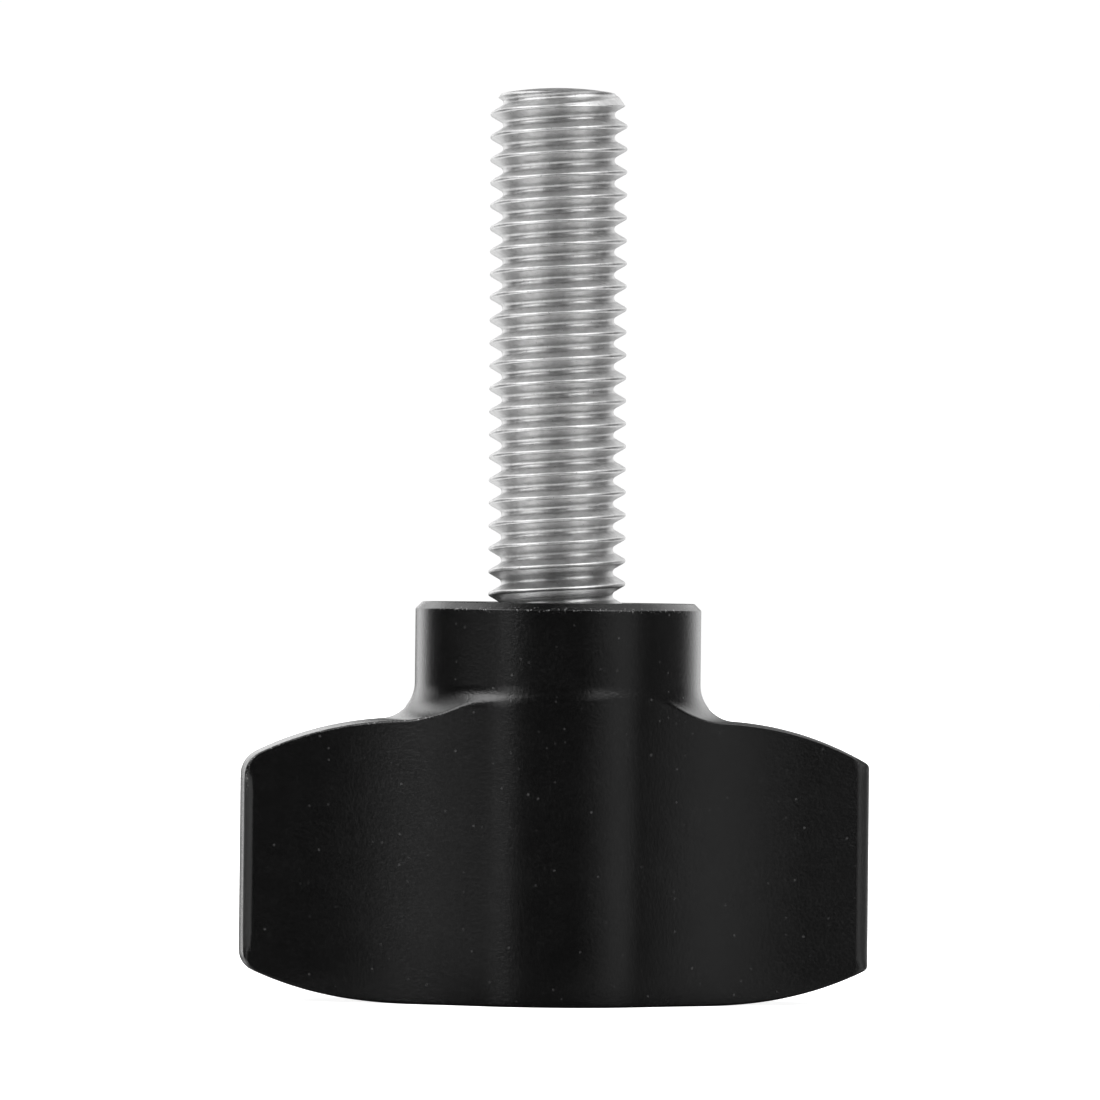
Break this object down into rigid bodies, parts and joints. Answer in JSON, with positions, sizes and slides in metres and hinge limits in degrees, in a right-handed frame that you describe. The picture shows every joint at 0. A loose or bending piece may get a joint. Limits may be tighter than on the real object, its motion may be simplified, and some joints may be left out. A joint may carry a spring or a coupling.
{
  "type": "thumb screw",
  "caption": "Thumb screw: a threaded stud standing out of a round hub with two tapered finger wings, for fastening by hand.",
  "frame": {"origin": "on the stud's axis, at the hub's bearing face, where the stud comes out of the knob", "axes": "+Z along the stud towards its tip, X along the two wings, Y across them, with the front face towards -Y"},
  "size_m": [0.0276, 0.0126, 0.0399],
  "materials": {
    "knob": "fine-blasted, black anodised",
    "stud": "machined stainless, satin"
  },
  "bodies": {
    "root": {"knob": "knob", "stud": "stud"}
  },
  "joints": []
}
